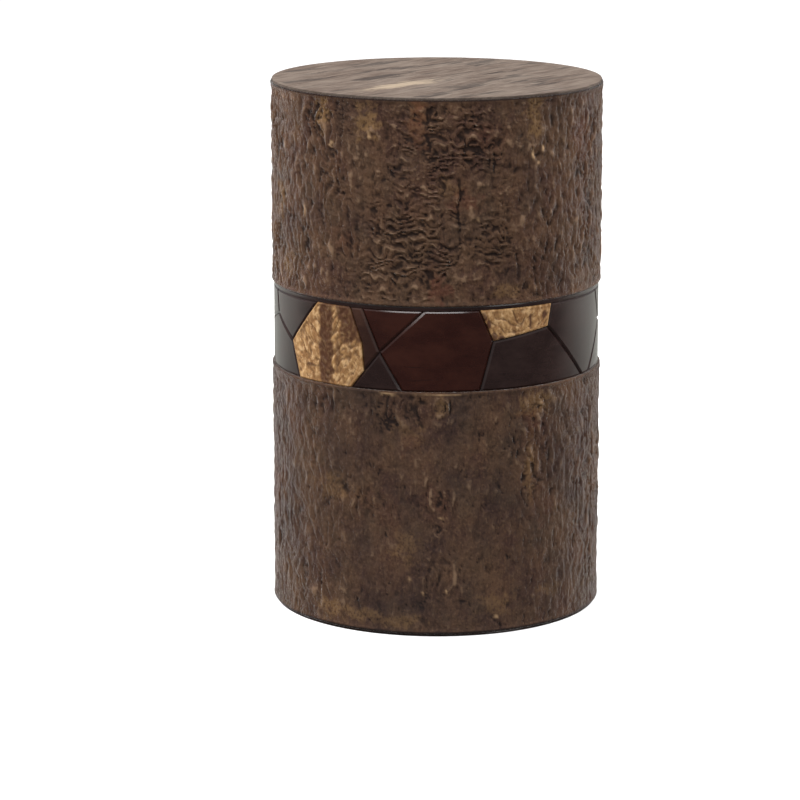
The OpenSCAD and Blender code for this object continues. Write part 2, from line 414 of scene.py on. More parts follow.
def golden_bark():
    """Young bark left unshaved: gold with creases darkened brown, partly as painted shade, brown patches and
    a silky crinkle.
    """
    paint = Paint("golden_bark")
    place = paint.effect(EFFECTS["sheet_place"])["Place"]
    relief, brown = paint.read("relief"), paint.read("brown")
    silk = paint.clouds(paint.scaled(place, 0.9, 0.6, 1.0), detail=5.0, roughness=0.55, distortion=0.3)
    patch = paint.clouds(paint.scaled(place, 0.34, 0.24, 0.3), detail=4.0)
    base = paint.mix(paint.ramp(patch, 0.35, 0.65), tint(140, 100, 60), tint(170, 130, 84))
    base = paint.mix(paint.ramp(silk, 0.46, 0.66, 0.0, 0.8), base, tint(210, 172, 126))
    base = paint.mix(paint.ramp(silk, 0.34, 0.46, 0.5, 0.0), base, tint(100, 66, 38))
    # Creases darkened brown: partly the bark's own brown lines, partly painted shade.
    base = paint.mix(paint.ramp(relief, 0.1, 0.7, 0.7, 0.0), base, tint(84, 52, 28))
    brown = paint.maths("MULTIPLY", brown, paint.ramp(silk, 0.4, 0.62, 1.0, 0.85))
    base = paint.mix(brown, base, tint(80, 48, 28))
    paint.colour(base)
    paint.set("Roughness", paint.ramp(silk, 0.3, 0.7, 0.6, 0.45))
    paint.set("Specular IOR Level", 0.35)
    paint.bump(silk, 0.16 * MM, 0.8)
    return paint.material


def veneer():
    """The wound and boarded wood inside, stained by glue where the bark is laid on."""
    paint = Paint("veneer")
    place = paint.effect(EFFECTS["sheet_place"])["Place"]
    out = paint.node("ShaderNodeSeparateXYZ")
    paint.feed(out.inputs[0], place)
    rings = paint.clouds(paint.scaled(place, 0.05, 0.9, 1.6), detail=5.0)
    pores = paint.clouds(paint.scaled(place, 0.5, 5.0, 3.0), detail=3.0)
    base = paint.mix(paint.ramp(rings, 0.35, 0.65), tint(176, 138, 96), tint(206, 172, 128))
    base = paint.mix(paint.ramp(pores, 0.55, 0.7, 0.0, 0.5), base, tint(140, 102, 66))
    darkening = paint.ramp(out.outputs[2], CORE_R / MM - 0.3, CORE_R / MM - 0.1)
    paint.colour(paint.mix(darkening, base, tint(24, 16, 13)))
    paint.set("Roughness", 0.6)
    paint.bump(pores, 0.05 * MM, 0.4)
    return paint.material


def knob_wood():
    """Turned wood, stained dark and waxed."""
    paint = Paint("knob_wood")
    place = paint.effect(EFFECTS["flat_place"])["Place"]
    grain = paint.clouds(paint.scaled(place, 0.5, 2.4, 0.5), detail=6.0, distortion=0.4)
    paint.colour(paint.mix(paint.ramp(grain, 0.35, 0.68), tint(52, 26, 18), tint(104, 60, 38)))
    paint.set("Roughness", paint.ramp(grain, 0.3, 0.7, 0.24, 0.36))
    paint.bump(grain, 0.04 * MM, 0.4)
    return paint.material


# ---- making pieces ----


def make_piece(bm, name, body, node, material, sharp=35, work=None):
    """A mesh, after any work on its points, as a piece that rides on a body and stands for a CAD node."""
    mesh = bpy.data.meshes.new(name)
    bm.to_mesh(mesh)
    bm.free()
    if work:
        work(mesh)
    mesh.shade_smooth()
    mesh.set_sharp_from_angle(angle=math.radians(sharp))
    mesh.materials.append(material)
    piece = bpy.data.objects.new(name, mesh)
    bpy.context.scene.collection.objects.link(piece)
    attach(piece, body)
    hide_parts(node)
    return piece


def points_of(mesh):
    """A mesh's points as three arrays: X, Y and Z."""
    flat = np.empty(len(mesh.vertices) * 3)
    mesh.vertices.foreach_get("co", flat)
    return flat.reshape(-1, 3).T


def put_points(mesh, x, y, z):
    mesh.vertices.foreach_set("co", np.stack([x, y, z], axis=-1).ravel())


def paint_points(mesh, **layers):
    """Stores one number a point under each name, for the materials to read."""
    for name, values in layers.items():
        mesh.attributes.new(name, "FLOAT", "POINT").data.foreach_set("value", values)


def turned(profile, steps=ROUND_STEPS, ring=False, gap=0.0):
    """A profile of (radius, height) points spun round the axis: closed for a ring, its gap behind."""
    bm = bmesh.new()
    points = [bm.verts.new((0, radius, height)) for radius, height in profile]
    edges = [bm.edges.new(pair) for pair in zip(points, points[1:])]
    if ring or gap:
        edges.append(bm.edges.new((points[-1], points[0])))
    if gap:
        bmesh.ops.rotate(bm, verts=points, cent=(0, 0, 0), matrix=Matrix.Rotation(gap / 2, 3, "Z"))
        bm.faces.new(points)
    made = bmesh.ops.spin(
        bm, geom=points + edges, cent=(0, 0, 0), axis=UP, angle=math.tau - gap, steps=steps, use_merge=not gap
    )
    if gap:
        last = [item for item in made["geom_last"] if isinstance(item, bmesh.types.BMVert)]
        bm.faces.new(last)
    bmesh.ops.remove_doubles(bm, verts=bm.verts, dist=0.001 * MM)
    bmesh.ops.recalc_face_normals(bm, faces=bm.faces)
    return bm


def cut_finer(bm, chosen, pieces):
    """Cuts each chosen edge, and the faces between such edges, into a number of equal pieces."""
    bmesh.ops.subdivide_edges(bm, edges=[e for e in bm.edges if chosen(e)], cuts=pieces - 1)
    bmesh.ops.recalc_face_normals(bm, faces=bm.faces)


def ease_edges(bm, width):
    """Rounds every edge that turns by more than 50 degrees."""
    sharp = [e for e in bm.edges if e.is_manifold and e.calc_face_angle() > math.radians(50)]
    bmesh.ops.bevel(
        bm,
        geom=sharp,
        offset=width,
        segments=2,
        profile=0.5,
        affect="EDGES",
        material=-1,
        clamp_overlap=True,
    )


def bark_ring(name, body, material, ease=0.1 * MM):
    """A thin ring or tube of bark with eased edges, in the place of the CAD node of the same name."""
    inner, outer, low, high = tube_size(name)
    bm = turned([(inner, low), (outer, low), (outer, high), (inner, high)], ring=True)
    ease_edges(bm, ease)
    return make_piece(bm, name + "_sheet", body, name, material)


def bark_disc(name, body, material, hole=0.0, ease=0.1 * MM):
    """A flat sheet of bark with eased edges, in the place of the CAD node of the same name."""
    _, outer, low, high = tube_size(name)
    if hole:
        bm = turned([(hole, low), (outer, low), (outer, high), (hole, high)], ring=True)
    else:
        bm = turned([(0, low), (outer, low), (outer, high), (0, high)])
    ease_edges(bm, ease)
    return make_piece(bm, name + "_sheet", body, name, material)


# ---- the rough bark coats ----


LATTICE = 256


def noise_at(x, y, layer):
    """Smooth noise from about -1 to 1 at arrays of places, from a lattice of random slopes."""
    turns = np.random.default_rng(layer).uniform(0, math.tau, (LATTICE, LATTICE))
    column, row = np.floor(x).astype(int), np.floor(y).astype(int)
    right, rise = x - column, y - row

    def corner(i, j):
        turn = turns[(column + i) % LATTICE, (row + j) % LATTICE]
        return np.cos(turn) * (right - i) + np.sin(turn) * (rise - j)

    ease_x, ease_y = (t * t * t * (t * (t * 6 - 15) + 10) for t in (right, rise))
    low = corner(0, 0) * (1 - ease_x) + corner(1, 0) * ease_x
    high = corner(0, 1) * (1 - ease_x) + corner(1, 1) * ease_x
    return 1.5 * (low * (1 - ease_y) + high * ease_y)


def lumps(x, y, layer):
    """Noise of three sizes, each half as large and half as strong as the one before."""
    return sum(noise_at(x * 2**n, y * 2**n, layer + 50 * n) / 2**n for n in range(3))


def smooth(low, high, value):
    """0 up to low, 1 from high, and a smooth rise between."""
    t = np.clip((value - low) / (high - low), 0, 1)
    return t * t * (3 - 2 * t)


def ripple(along, up, length, width, layer, sharp=0.34):
    """Crinkles: 1 along a crest and 0 in the hollows between."""
    return 1 - smooth(0.0, sharp, np.abs(noise_at(along / length, up / width, layer)))


def arc_length(angle):
    """How far along its sheet an angle lies, in millimetres."""
    return math.radians(angle) * SHEET_R


def patchiness(along, up, patches, wander=0.35):
    """How strongly points lie in any of the patches (angle, height, half width, half height, amount)."""
    best = np.zeros_like(along)
    ragged = wander * (noise_at(along / 2.4, up / 2.4, 40) + 0.5 * noise_at(along, up, 41))
    for angle, height, half_width, half_height, amount in patches:
        reach = np.hypot((along - arc_length(angle)) / half_width, (up - height) / half_height) + ragged
        best = np.maximum(best, amount * (1 - smooth(0.35, 1.1, reach)))
    return best


def crack_depth(along, up, cracks):
    """How deep points lie in any of the cracks (angle, lowest, highest, lean, half width)."""
    best = np.zeros_like(along)
    for angle, low, high, lean, half_width in cracks:
        wander = 0.6 * noise_at(up / 3, np.full_like(up, 0.1 * angle), 5)
        middle = arc_length(angle) + lean * (up - low) + wander
        taper = np.clip(np.minimum(up - low, high - up) / 2.0, 0, 1)
        near = 1 - smooth(0.15, 1.0, np.abs(along - middle) / (half_width * taper + 0.01))
        best = np.maximum(best, near * (taper > 0))
    return best


def eye_height(along, up, eyes):
    """Knots (angle, height, radius): a broken, uneven ring raised round a pit."""
    rise = np.zeros_like(along)
    for angle, height, radius in eyes:
        reach = np.hypot(along - arc_length(angle), (up - height) * 0.8) / radius
        reach += 0.3 * noise_at(along / 1.2, up / 1.2, 42)
        whole = 0.25 + 0.75 * smooth(-0.5, 0.5, noise_at(along / 1.3, up / 1.3, 43))
        rings = whole * np.cos(reach * 2.4 * math.pi) * (1 - smooth(0.5, 1.5, reach))
        rise += rings * np.where(reach < 0.2, -0.6, 0.6)
    return rise


LID_BARK_TALL = (tube_size("lid_bark")[3] - tube_size("lid_bark")[2]) / MM

# What each coat is like. "layer" is the first layer of its noise, "shaded_edge" the height of its edge
# that gets a dark line of painted shade, "shade" how much grey lies over it, "roughness" and "crinkled"
# how uneven it is away from its crumples, and "upright" the angles between which its folds give way to
# upright streaks, which are below nought where a coat has streaks alone. "plains" are places where
# crumples hardly show.
# patchiness, crack_depth and eye_height say what the rows hold. Heights are from the coat's lower edge.

LID_BARK = {
    "layer": 300,
    "shaded_edge": LID_BARK_TALL,
    "shade": 0.0,
    "roughness": 0.38,
    "crinkled": 0.5,
    "upright": (18, 44),
    "crumples": [
        (-9, 14, 15, 14, 1.0), (-4, 32, 9, 15, 1.0), (12, 36, 8, 8, 0.9), (20, 12, 9, 8, 0.45),
        (-40, 38, 9, 7, 0.8), (-36, 20, 8, 15, 0.4), (-70, 20, 7, 26, 0.45), (70, 22, 7, 26, 0.5),
        (118, 30, 16, 14, 1.0), (160, 12, 14, 10, 0.9), (-150, 28, 14, 16, 1.0), (-105, 16, 15, 13, 0.9),
        (-84, 36, 9, 7, 0.7),
    ],
    "ochres": [
        (-42, 41, 2.6, 4.5, 1.0), (-24, 40, 3.2, 4.5, 1.0), (-6.5, 40.5, 2.6, 6, 0.8), (35, 41, 2.6, 6, 0.9),
        (-68, 20, 3, 5, 0.6), (-62, 6, 3, 4, 0.6), (4, 26, 3, 3, 0.35), (24, 3, 5, 1.6, 0.6),
        (100, 8, 6, 5, 0.7), (135, 40, 7, 4, 0.8), (178, 24, 6, 8, 0.6), (-125, 8, 8, 4, 0.7),
        (-95, 42, 5, 4, 0.8),
    ],
    "reds": [
        (1, 4, 2.6, 4, 1.0), (-6.5, 40, 2.8, 7, 1.0), (10, 23, 5, 2.5, 0.7), (16, 37, 4, 3, 0.4),
        (-33, 14, 4, 4, 0.3), (60, 34, 5, 6, 0.5), (145, 20, 5, 9, 0.7), (-170, 10, 6, 5, 0.6),
        (-112, 38, 6, 4, 0.6),
    ],
    "flecks": [
        (34.2, 32.8, 0.4, 1.5, 1.0), (38.4, 34, 0.4, 1.3, 0.9), (36.4, 30.6, 0.6, 0.5, 0.9),
        (14, 19, 0.5, 0.6, 0.4), (-38, 34.5, 0.8, 0.9, 1.0), (-23, 37, 0.6, 1.4, 0.8),
        (-51, 19, 0.5, 1.5, 0.7), (122, 20, 0.8, 1.2, 0.8), (-140, 33, 0.8, 1.5, 0.8),
    ],
    "cracks": [
        (7.4, 12, 29, 0.02, 0.42), (17, 27, 36, 0.05, 0.4), (19.5, 28, 35, 0.02, 0.36),
        (-49.5, 9, 17, 0.03, 0.36), (-2.8, 34, 44, -0.02, 0.42), (9, 32, 37, 0.1, 0.36),
        (61, 12, 20, 0.02, 0.3), (95, 20, 36, 0.0, 0.4), (-88, 4, 22, 0.03, 0.5),
        (-128, 22, 40, 0.0, 0.5), (168, 26, 43, -0.03, 0.5),
    ],
    "plains": [(-6.5, 30, 2.8, 5.5, 1.0), (-6, 40.5, 2.8, 6.5, 0.9), (28, 24, 7, 8, 0.5)],
    "eyes": [(36, 33, 1.7), (11, 39, 2.0), (-14, 41, 1.6), (-120, 24, 2.6), (150, 33, 2.4)],
}

BODY_BARK = {
    "layer": 900,
    "shaded_edge": 0.3,
    "shade": 0.22,
    "roughness": 0.24,
    "crinkled": 0.18,
    "upright": (-30, -10),
    "crumples": [
        (-14, 50, 9, 5, 0.9), (-38, 51, 8, 4, 0.6), (1, 31, 7, 5, 0.7), (1, 14, 9, 6, 0.6),
        (-30, 30, 8, 7, 0.5), (36, 42, 6, 13, 0.7), (68, 26, 7, 30, 0.45), (-68, 24, 7, 30, 0.4),
        (-48, 8, 9, 8, 0.5), (90, 30, 10, 16, 0.8), (135, 18, 14, 12, 0.8), (170, 42, 12, 8, 0.9),
        (-150, 20, 12, 14, 0.7), (-110, 38, 12, 10, 0.8),
    ],
    "ochres": [
        (-38, 4, 6, 2.5, 0.7), (-26, 3.5, 6, 2, 0.7), (-14, 3, 7, 1.6, 0.6), (-38, 32, 5, 4, 0.55),
        (36, 51, 5, 3.5, 0.8), (34, 36, 1.6, 8, 0.6), (-10, 45, 4, 4, 0.4), (2, 51, 2, 3, 0.6),
        (22, 6, 6, 2.5, 0.5), (45, 8, 5, 2, 0.5), (-10, 20, 4, 4, 0.45), (110, 48, 7, 4, 0.7),
        (-130, 44, 8, 4, 0.6), (-95, 5, 9, 3, 0.6), (155, 5, 9, 3, 0.6),
    ],
    "reds": [
        (34, 47, 4, 3, 0.6), (-10, 43, 3, 3, 0.5), (1, 30, 4, 4, 0.3), (40, 28, 5, 5, 0.35),
        (-18, 28, 6, 6, 0.25), (125, 30, 6, 9, 0.5), (-155, 32, 6, 8, 0.5), (-75, 28, 5, 5, 0.4),
    ],
    # The two long rows at heights 54.2 and 54.3 mm make a pale line along the top edge: partly torn bark,
    # partly painted highlight.
    "flecks": [
        (21, 3.4, 0.9, 0.6, 0.8), (-9, 12.5, 0.5, 0.6, 0.7), (-4, 9.5, 0.6, 0.5, 0.6),
        (3.5, 9.8, 0.5, 0.5, 0.7), (-17, 54.2, 2.8, 0.3, 1.0), (2.5, 54.3, 6.5, 0.2, 0.8),
        (2, 26.5, 1.2, 0.4, 0.5), (38, 51, 0.8, 0.5, 0.6), (108, 22, 0.8, 0.8, 0.8),
        (-120, 12, 0.8, 0.8, 0.8),
    ],
    "cracks": [
        (26, 47, 53, 0.04, 0.4), (28.5, 36, 46, -0.03, 0.3), (31, 28, 36, 0.02, 0.3),
        (-6, 48, 54, 0.1, 0.4), (4.5, 49, 54, -0.06, 0.4), (-50, 46, 52, 0.05, 0.3),
        (56, 12, 22, 0.03, 0.3), (70, 6, 40, 0.02, 0.5), (-72, 10, 44, -0.02, 0.5),
        (118, 8, 36, 0.02, 0.5), (-140, 14, 46, 0.02, 0.5),
    ],
    "plains": [(-24, 17, 9, 9, 0.5), (20, 22, 9, 10, 0.5)],
    "eyes": [
        (1.5, 51.5, 2.0), (0.5, 31, 2.4), (1, 24, 1.5), (39, 49, 2.0), (128, 40, 2.6), (-160, 12, 2.4),
    ],
}


# The even relief that a coat's worked face runs out to at its edges
EDGE_RELIEF = 0.62


def bark_relief(along, up, bark):
    """The height of rough bark at places on its flat sheet, from 0 in a crack to 1 on a crest."""
    layer = bark["layer"]

    # The same places pushed about, so that no fold or streak runs straight
    a = along + 1.9 * noise_at(along / 6, up / 6, layer) + 0.35 * noise_at(along / 1.9, up / 1.9, layer + 1)
    b = up + 2.2 * noise_at(along / 6, up / 6, layer + 2) + 0.35 * noise_at(along / 1.9, up / 1.9, layer + 3)
    zone = smooth(-0.25, 0.45, noise_at(along / 9, up / 14, layer + 4))
    crumple = np.clip(patchiness(along, up, bark["crumples"]) + bark["crinkled"] * zone, 0, 1)
    crumple *= 1 - 0.85 * patchiness(along, up, bark["plains"])

    # Folds run round the caddy in short wavy lengths, and where the bark is upright, streaks run up it
    fold = 0.5 + 0.5 * np.cos(math.tau * (b + noise_at(a / 2.4, b / 3.2, layer + 5)) / 1.5)
    fold = fold**1.3 * smooth(-0.5, 0.1, noise_at(a / 3.4, b / 1.6, layer + 6))
    worm = ripple(a, b, 2.4, 1.3, layer + 7, 0.28)
    streak = 0.5 + 0.5 * np.cos(math.tau * (a + noise_at(a / 2.5, b / 6, layer + 8)) / 1.9)
    streak *= smooth(-0.3, 0.3, noise_at(a / 1.6, b / 5, layer + 9))
    start, full = bark["upright"]
    off_front = np.degrees(np.abs(along) / SHEET_R) + 14 * noise_at(along / 14, up / 20, layer + 10)
    upright = smooth(start, full, off_front)
    crinkle = np.maximum(fold, 0.7 * worm) * (1 - upright) + np.maximum(streak, 0.6 * worm) * upright

    rough = lumps(along / 1.7, up / 2.6, layer + 11)
    swell = noise_at(along / 8, up / 13, layer + 12)
    quiet = 0.58 + bark["roughness"] * rough + 0.2 * (crinkle - 0.4)
    relief = quiet * (1 - crumple) + (0.12 + 0.8 * crinkle + 0.12 * rough) * crumple + 0.12 * swell
    relief += 0.65 * eye_height(along, up, bark["eyes"])
    split = ripple(a, b, 1.7, 6.0, layer + 13, 0.08)
    split *= smooth(0.1, 0.4, noise_at(along / 4, up / 4, layer + 14))
    crack = crack_depth(along, up, bark["cracks"])
    crack *= smooth(-0.4, 0.2, noise_at(along / 2, up / 2.2, layer + 15))
    return np.clip(relief - 0.4 * split - 0.6 * crack, 0, 1)


def bark_coat(name, body, node, bark, material):
    """A sheet of rough bark round the core, butted behind, with its relief worked into the outer face."""
    _, outer, low, high = tube_size(node)
    seam_edges = [v.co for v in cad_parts[node].data.vertices if v.co.y > 0.99 * outer]
    gap = 2 * min(abs(co.x) for co in seam_edges) / outer
    ease = COAT_EASE
    rows = round((high - low - 2 * ease) / BARK_CELLS[node])
    profile = [(CORE_R, low), (outer - ease, low)]
    profile += [(outer - ease + ease * math.sin(t), low + ease - ease * math.cos(t)) for t in CORNER[:-1]]
    profile += [(outer, low + ease), (outer, high - ease)]
    profile += [(outer - ease + ease * math.cos(t), high - ease + ease * math.sin(t)) for t in CORNER[:-1]]
    profile += [(outer - ease, high), (CORE_R, high)]

    def stands_outside(edge):
        rise = abs(edge.verts[0].co.z - edge.verts[1].co.z)
        return rise > 5 * MM and edge.verts[0].co.xy.length > outer - 0.01 * MM

    def work(mesh):
        x, y, z = points_of(mesh)
        radius, angle = np.hypot(x, y), np.arctan2(x, -y)
        along, up = angle * SHEET_R, (z - low) / MM
        edge = np.minimum(np.minimum(up, (high - low) / MM - up), (math.pi - np.abs(angle)) * SHEET_R)
        skin = radius > outer - 1.01 * ease
        free = smooth(0.1, 1.2, edge)
        relief = EDGE_RELIEF + (bark_relief(along, up, bark) - EDGE_RELIEF) * free
        # Painted shade: a dark line along one edge of the coat, made by lowering the relief that the colour
        # reads there.
        darkening = 1 - smooth(0.15, 0.6, np.abs(up - bark["shaded_edge"]))
        paint_points(
            mesh,
            relief=np.where(skin, relief * (1 - 0.8 * darkening), 0.1),
            shade=np.clip(bark["shade"] + 0.3 * noise_at(along / 9, up / 12, bark["layer"] + 16), 0, 1),
            ochre=patchiness(along, up, bark["ochres"], 0.7),
            red=patchiness(along, up, bark["reds"], 0.7),
            fleck=patchiness(along, up, bark["flecks"]) * smooth(0.35, 0.6, relief),
        )
        shrink = np.where(skin, 1 - (1 - relief) * COAT_RELIEF * (0.25 + 0.75 * free) / radius, 1)
        put_points(mesh, x * shrink, y * shrink, z)

    bm = turned(profile, steps=BARK_STEPS, gap=gap)
    cut_finer(bm, stands_outside, rows)
    return make_piece(bm, name, body, node, material, sharp=60, work=work)


# ---- the lid's top ----

# The grain's angle from +X in degrees, and the middle of the pale streak in millimetres
TOP_GRAIN_ANGLE = 52
PALE_STREAK = (-8, -15)


def lid_top(material):
    """The scraped bark disc on the lid, with furrows along its grain and one pale streak near the front."""
    _, outer, low, high = tube_size("lid_top_bark")
    ease = TOP_EASE
    profile = [(0, low), (outer, low), (outer, high - ease)]
    profile += [(outer - ease + ease * math.cos(t), high - ease + ease * math.sin(t)) for t in CORNER]
    profile += [(TOP_CELL, high), (0, high)]
    turn = math.radians(TOP_GRAIN_ANGLE)

    def runs_out(edge):
        return edge.calc_length() > 5 * MM and min(v.co.z for v in edge.verts) > high - 0.01 * MM

    def with_grain(x, y):
        return x * math.cos(turn) + y * math.sin(turn), y * math.cos(turn) - x * math.sin(turn)

    def work(mesh):
        x, y, z = points_of(mesh)
        along, across = with_grain(x / MM, y / MM)
        streak_along, streak_across = with_grain(*PALE_STREAK)
        bend = 1.6 * noise_at(along / 16, across / 9, 2)
        furrow = 0.6 * ripple(along, across + bend, 20, 2.1, 31)
        furrow += 0.45 * ripple(along, across + bend, 9, 1, 32)
        relief = np.clip(0.36 + 0.5 * furrow + 0.5 * noise_at(along / 18, across / 4, 33), 0.2, 1)
        free = smooth(0.2, 1.8, (outer - np.hypot(x, y)) / MM)
        relief = 0.7 + (relief - 0.7) * (0.3 + 0.7 * free)
        reach = np.hypot((along - streak_along) / 15, (across + bend * 0.5 - streak_across) / 3.5)
        reach += 0.45 * noise_at(along / 7, across / 0.9, 34)
        reach += 0.2 * noise_at(along / 2.5, across / 0.5, 35)
        skin = z > high - 0.1 * ease
        pale = np.where(skin, 1 - smooth(0.4, 1.0, reach), 0)
        # Off the top face the rounded rim gets a low relief and so comes out dark: painted shade where the
        # disc meets the side.
        paint_points(mesh, relief=np.where(skin, relief, 0.22), pale=pale)
        put_points(mesh, x, y, z - np.where(skin, (1 - relief) * TOP_RELIEF, 0))

    bm = turned(profile)
    cut_finer(bm, runs_out, round((outer - ease) / TOP_CELL) - 1)
    return make_piece(bm, "lid_top_sheet", "lid", "lid_top_bark", material, sharp=60, work=work)


# ---- the inlaid band ----

# Tiles of reddish polished bark. The others, but for the golden ones and the sliver, are near black
BURGUNDY_TILES = (
    "tile_front_centre",
    "tile_front_upper_wedge",
    "tile_back_right",
    "tile_left",
    "tile_back_upper",
)

# Each golden tile's rib angle and its brown patches, with heights from the base
GOLD_TILES = {
    "tile_gold_front_left": (
        -40.5,
        [
            (-40.5, 65, 2.5, 24, 1.0), (-31, 71, 3.6, 7, 1.0), (-35.5, 63, 0.9, 6, 0.5),
            (-47, 59, 2.4, 0.6, 0.8),
        ],
    ),
    "tile_gold_front_right": (
        30,
        [
            (16, 72, 0.9, 1.3, 1.0), (17.8, 70, 0.7, 1.2, 0.9), (19.8, 67.4, 1.1, 1.0, 1.0),
            (22.5, 67, 1.3, 0.6, 0.8), (33.5, 70, 0.4, 2.4, 0.8), (39.5, 71.3, 1.0, 1.4, 0.8),
        ],
    ),
    "tile_gold_back_right": (112, [(112, 64, 1.4, 9, 0.9), (119, 62, 0.8, 6, 0.5)]),
    "tile_gold_back_left": (-124, [(-124, 64, 1.3, 9, 0.8)]),
}


def tile_outline(node):
    """A tile's outer radius, the angle it faces, and its corners laid flat: along the band and up it."""
    bm = bmesh.new()
    bm.from_mesh(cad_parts[node].data)
    bmesh.ops.remove_doubles(bm, verts=bm.verts, dist=0.001 * MM)
    face_r = max(v.co.xy.length for v in bm.verts)
    skin = {f for f in bm.faces if all(v.co.xy.length > face_r - 0.02 * MM for v in f.verts)}
    after = {}
    for face in skin:
        for loop in face.loops:
            if not any(other in skin for other in loop.edge.link_faces if other != face):
                after[loop.vert] = loop.link_loop_next.vert
    facing = math.atan2(sum(v.co.x for v in after), -sum(v.co.y for v in after))
    turn = Matrix.Rotation(-facing, 3, "Z")
    first = here = min(after, key=lambda v: v.index)
    corners = []
    while here != first or not corners:
        at = turn @ here.co
        corners.append(Vector((math.atan2(at.x, -at.y) * face_r, at.z)))
        here = after[here]
    bm.free()
    return face_r, facing, straighten(corners)


def straighten(corners, least_turn=math.radians(9)):
    """Drops the points of an outline at which it barely turns."""
    kept = list(corners)
    while len(kept) > 3:
        turns = []
        for i, here in enumerate(kept):
            before, after = here - kept[i - 1], kept[(i + 1) % len(kept)] - here
            turns.append(abs(before.angle(after)))
        if min(turns) > least_turn:
            break
        kept.pop(turns.index(min(turns)))
    return kept


def cut_across(bm, cell, along_too):
    """Cuts a flat sheet into strips, or into cells, fine enough to be rolled and shaped."""
    directions = [Vector((1, 0, 0))] + ([Vector((0, 1, 0))] if along_too else [])
    for direction in directions:
        spans = [v.co.dot(direction) for v in bm.verts]
        low, high = min(spans), max(spans)
        count = max(2, round((high - low) / cell))
        for step in range(1, count):
            bmesh.ops.bisect_plane(
                bm,
                geom=bm.verts[:] + bm.edges[:] + bm.faces[:],
                dist=0.0001 * MM,
                plane_co=direction * (low + (high - low) * step / count),
                plane_no=direction,
            )


def roll_on(bm, radius, facing):
    """Rolls a flat sheet round the caddy's axis: X runs along the band, Y up and Z outwards."""
    for v in bm.verts:
        angle = facing + v.co.x / radius
        reach = radius + v.co.z
        v.co = Vector((reach * math.sin(angle), -reach * math.cos(angle), v.co.y))


def flat_tile(outline, thickness, bevel):
    """A flat tile with a shallow chamfer round its face, which lies in the plane Z = 0."""
    bm = bmesh.new()
    face = bm.faces.new([bm.verts.new((p.x, p.y, 0)) for p in outline])
    if face.normal.z < 0:
        face.normal_flip()
    made = bmesh.ops.extrude_face_region(bm, geom=[face])
    lower = [item for item in made["geom"] if isinstance(item, bmesh.types.BMVert)]
    bmesh.ops.translate(bm, verts=lower, vec=(0, 0, -thickness))
    bmesh.ops.recalc_face_normals(bm, faces=bm.faces)
    rim = [e for e in bm.edges if all(abs(v.co.z) < 1e-9 for v in e.verts)]
    bmesh.ops.bevel(bm, geom=rim, offset=bevel, segments=1, profile=0.5, affect="EDGES", material=-1)
    for v in bm.verts:
        if -1.5 * bevel < v.co.z < 0:
            v.co.z *= CHAMFER_SLOPE
    return bm


def polished_tile(node, material):
    radius, facing, outline = tile_outline(node)
    bm = flat_tile(outline, radius - CORE_R, POLISHED_CHAMFER)
    cut_across(bm, POLISHED_STRIP, along_too=False)
    roll_on(bm, radius, facing)
    return make_piece(bm, node.replace("tile_", "inlay_"), "caddy", node, material, sharp=25)


def golden_tile(node, material, rib, browns):
    """A crinkled golden tile, creased up and out from a rib at an angle, with brown patches."""
    radius, facing, outline = tile_outline(node)
    bm = flat_tile(outline, radius - CORE_R, GOLD_CHAMFER)
    cut_across(bm, GOLD_CELL, along_too=True)
    rib_at = (math.radians(rib) - facing) * radius / MM

    def work(mesh):
        x, y, z = points_of(mesh)
        flat_x, up = x / MM, y / MM
        along = flat_x + facing * radius / MM
        inside = np.ones_like(x)
        for a, b in zip(outline, outline[1:] + outline[:1]):
            side = (b - a).normalized()
            off = Vector((-side.y, side.x))
            inside = np.minimum(inside, np.abs((x - a.x) * off.x + (y - a.y) * off.y) / MM)
        wander = 0.8 * noise_at(along / 3, up / 3, 60)
        fan = (up + wander) - 0.9 * np.abs(flat_x - rib_at)
        crease = ripple(along, fan, 4.5, 1.9, 61, 0.3) + 0.6 * ripple(along, fan, 2.2, 1.1, 62, 0.3)
        relief = np.clip(0.85 - 0.5 * crease + 0.4 * noise_at(along / 1.1, fan / 0.9, 63), 0, 1)
        free = smooth(0.15, 0.7, inside)
        relief = 0.7 + (relief - 0.7) * free
        skin = z > -0.05 * MM
        paint_points(mesh, relief=relief, brown=smooth(0.05, 0.75, patchiness(along, up, browns)))
        reach = radius + z - np.where(skin, (1 - relief) * GOLD_RELIEF * free, 0)
        angle = facing + x / radius
        put_points(mesh, reach * np.sin(angle), -reach * np.cos(angle), y)

    return make_piece(
        bm, node.replace("tile_", "inlay_"), "caddy", node, material, sharp=60, work=work
    )


# ---- the parts under the lid ----


def inner_lid_knob(material):
    """A turned button: a waisted stem under a domed head, with a fine bead where it meets the lid."""
    low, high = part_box("inner_lid_knob")
    base_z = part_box("inner_lid_top_bark")[1].z
    tenon_r = tube_size("inner_lid_top_bark")[0]
    head_r = high.x
    tall = high.z - base_z
    stem_r = 0.66 * head_r
    flare = 0.96 * head_r - stem_r
    bead = 0.5 * MM
    waist = 0.56 * tall
    dome = tall - waist
    quarter = [math.radians(7.5 * step) for step in range(13)]
    profile = [(0, low.z), (tenon_r, low.z), (tenon_r, base_z)]
    profile += [(stem_r + bead * math.cos(t), base_z + bead / 2 * (1 + math.sin(t))) for t in quarter[:7]]
    profile += [
        (stem_r + flare * (1 - math.cos(t)), base_z + bead + (waist - bead) * math.sin(t)) for t in quarter
    ]
    profile += [(head_r * math.cos(t) ** 0.7, base_z + waist + dome * math.sin(t)) for t in quarter[:-1]]
    profile += [(0, high.z)]
    bm = turned(profile, steps=KNOB_STEPS)
    return make_piece(bm, "knob", "inner_lid", "inner_lid_knob", material, sharp=50)


HIDDEN_NODES = (
    "base_board",
    "body_core",
    "body_lining",
    "inner_tube_core",
    "inner_lid_plug",
    "lid_core",
    "lid_board",
)


